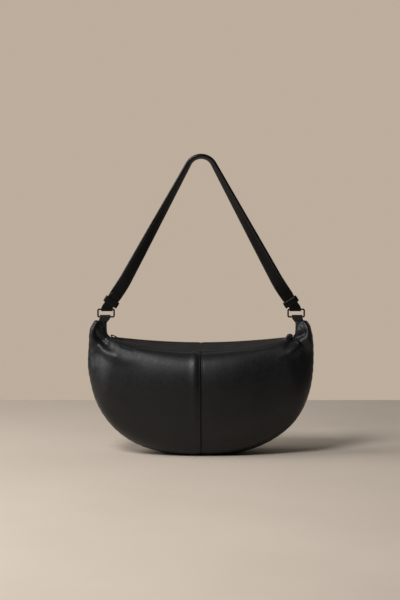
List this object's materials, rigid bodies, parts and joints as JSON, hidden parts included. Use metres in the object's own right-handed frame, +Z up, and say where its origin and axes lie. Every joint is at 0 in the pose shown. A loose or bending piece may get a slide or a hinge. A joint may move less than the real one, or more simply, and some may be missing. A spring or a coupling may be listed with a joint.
{
  "type": "shoulder bag",
  "caption": "Half moon shoulder bag in smooth black leather with a zipped mouth, sewn ears, metal rings and a raised strap.",
  "frame": {"origin": "middle of the base, on the surface the bag stands on", "axes": "+Z up, +X to the bag's left ear as it faces the viewer's right, front face towards -Y"},
  "size_m": [0.35, 0.1096, 0.466],
  "materials": {
    "panel_leather": "smooth satin nappa",
    "facing_leather": "smooth satin",
    "tab_leather": "smooth satin",
    "strap_leather": "smooth satin with painted edges",
    "seam_tape": "woven",
    "lining_cloth": "fine woven",
    "zip_tape": "woven",
    "zip_metal": "dark plated",
    "ring_metal": "dark plated"
  },
  "bodies": {
    "bag": {"front_panel_left": "panel_leather", "front_panel_right": "panel_leather", "back_panel_left": "panel_leather", "back_panel_right": "panel_leather", "front_seam_tape": "seam_tape", "back_seam_tape": "seam_tape", "front_zip_facing": "facing_leather", "back_zip_facing": "facing_leather", "front_lining": "lining_cloth", "back_lining": "lining_cloth", "inner_pocket": "lining_cloth", "zip_tape_front": "zip_tape", "zip_tape_back": "zip_tape", "zip_chain_front": "zip_metal", "zip_chain_back": "zip_metal", "zip_top_stops": "zip_metal", "zip_bottom_stop": "zip_metal", "zip_end_cover_left": "facing_leather", "zip_end_tab_right": "facing_leather", "ear_tab_left": "tab_leather", "ear_tab_right": "tab_leather"},
    "slider": {"zip_slider": "zip_metal"},
    "puller": {"zip_puller": "zip_metal"},
    "left_ring": {"ring_left": "ring_metal"},
    "right_ring": {"ring_right": "ring_metal"},
    "strap": {"strap_outer": "strap_leather", "strap_inner": "strap_leather", "strap_end_left": "strap_leather", "strap_end_right": "strap_leather", "keeper_left": "strap_leather", "keeper_right": "strap_leather"}
  },
  "joints": [
    {"name": "zip_run", "type": "hinge", "parent": "bag", "child": "slider", "pos_m": [0, 0, 0.7185], "axis": [0, -1, 0], "range_deg": [0, 25.2], "deforming": ["zip_tape_front", "zip_tape_back", "zip_chain_front", "zip_chain_back"]},
    {"name": "puller_flip", "type": "hinge", "parent": "slider", "child": "puller", "pos_m": [-0.12416, 0, 0.17628], "axis": [0, 1, 0], "range_deg": [0, 135]},
    {"name": "left_ring_swing", "type": "hinge", "parent": "bag", "child": "left_ring", "pos_m": [-0.1475, 0, 0.213], "axis": [1, 0, 0], "range_deg": [-80, 80]},
    {"name": "right_ring_swing", "type": "hinge", "parent": "bag", "child": "right_ring", "pos_m": [0.1475, 0, 0.213], "axis": [1, 0, 0], "range_deg": [-80, 80]},
    {"name": "strap_swing", "type": "hinge", "parent": "left_ring", "child": "strap", "pos_m": [-0.1461, 0, 0.2248], "axis": [1, 0, 0], "range_deg": [-60, 60]}
  ],
  "couplings": [
    {"joint": "right_ring_swing", "follows": "left_ring_swing", "ratio": 1}
  ]
}
